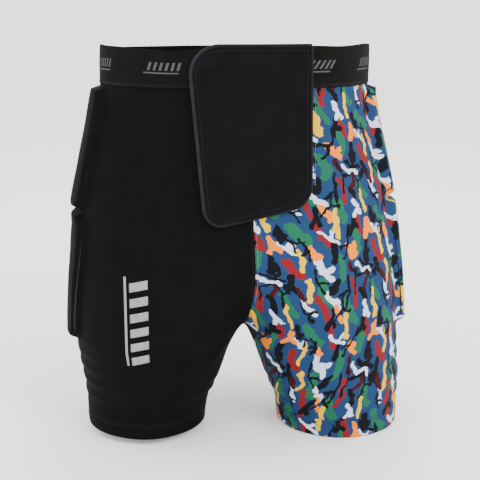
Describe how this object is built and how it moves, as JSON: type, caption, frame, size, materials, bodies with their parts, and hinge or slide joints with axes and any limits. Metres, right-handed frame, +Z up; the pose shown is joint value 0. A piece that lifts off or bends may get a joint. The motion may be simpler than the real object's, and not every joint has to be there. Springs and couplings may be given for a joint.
{
  "type": "padded impact shorts",
  "caption": "Close-fitting padded shorts for snow sports: stretch shell over foam pads at hips, seat and tailbone, elastic waistband, and a front flap that peels open from one side.",
  "frame": {"origin": "centre of the waist opening, level with the top of the waistband", "axes": "+Z up, towards the wearer's head; -Y the wearer's front; +X the wearer's left"},
  "size_m": [0.386, 0.2469, 0.415],
  "materials": {
    "black_shell": "matte stretch knit",
    "printed_shell": "matte stretch knit with a brushed multicolour print",
    "waist_elastic": "woven elastic",
    "hem_elastic": "folded stretch knit",
    "pad_foam": "moulded closed-cell foam",
    "mesh_lining": "open mesh knit",
    "loop_pile": "brushed loop pile",
    "hook_tape": "woven tape with nylon hooks",
    "seam_tape": "woven tape",
    "label_satin": "plain satin",
    "flap_foam": "soft laminated foam",
    "flap_face": "fine jersey laminated on foam",
    "flap_backing": "fine jersey laminated on foam",
    "flap_welt": "turned and stitched edge"
  },
  "bodies": {
    "shorts": {"waistband": "waist_elastic", "stretch_gore": "black_shell", "right_front_panel": "black_shell", "left_front_panel": "printed_shell", "right_back_panel": "black_shell", "left_back_panel": "printed_shell", "crotch_gusset": "black_shell", "right_leg_hem": "hem_elastic", "left_leg_hem": "hem_elastic", "right_hip_pad_upper": "pad_foam", "left_hip_pad_upper": "pad_foam", "right_hip_pad_lower": "pad_foam", "left_hip_pad_lower": "pad_foam", "right_seat_pad": "pad_foam", "left_seat_pad": "pad_foam", "tailbone_pad": "pad_foam", "right_hip_lining": "mesh_lining", "left_hip_lining": "mesh_lining", "right_seat_lining": "mesh_lining", "left_seat_lining": "mesh_lining", "tailbone_lining": "mesh_lining", "loop_patch": "loop_pile", "flap_anchor_tape": "seam_tape", "size_label": "label_satin"},
    "flap_base": {"flap_base_backing": "flap_backing", "flap_base_foam": "flap_foam", "flap_base_face": "flap_face", "flap_base_welt": "flap_welt"},
    "flap_tip": {"flap_tip_backing": "flap_backing", "flap_tip_foam": "flap_foam", "flap_tip_face": "flap_face", "flap_tip_welt": "flap_welt", "hook_patch": "hook_tape"}
  },
  "joints": [
    {"name": "flap_swing", "type": "hinge", "parent": "shorts", "child": "flap_base", "pos_m": [0.058, -0.1026, -0.07], "axis": [0, 0.0519, 0.9987], "range_deg": [0, 110]},
    {"name": "flap_peel", "type": "hinge", "parent": "flap_base", "child": "flap_tip", "pos_m": [0.006, -0.1142, -0.075], "axis": [0, 0.0376, 0.9993], "range_deg": [0, 110]}
  ]
}
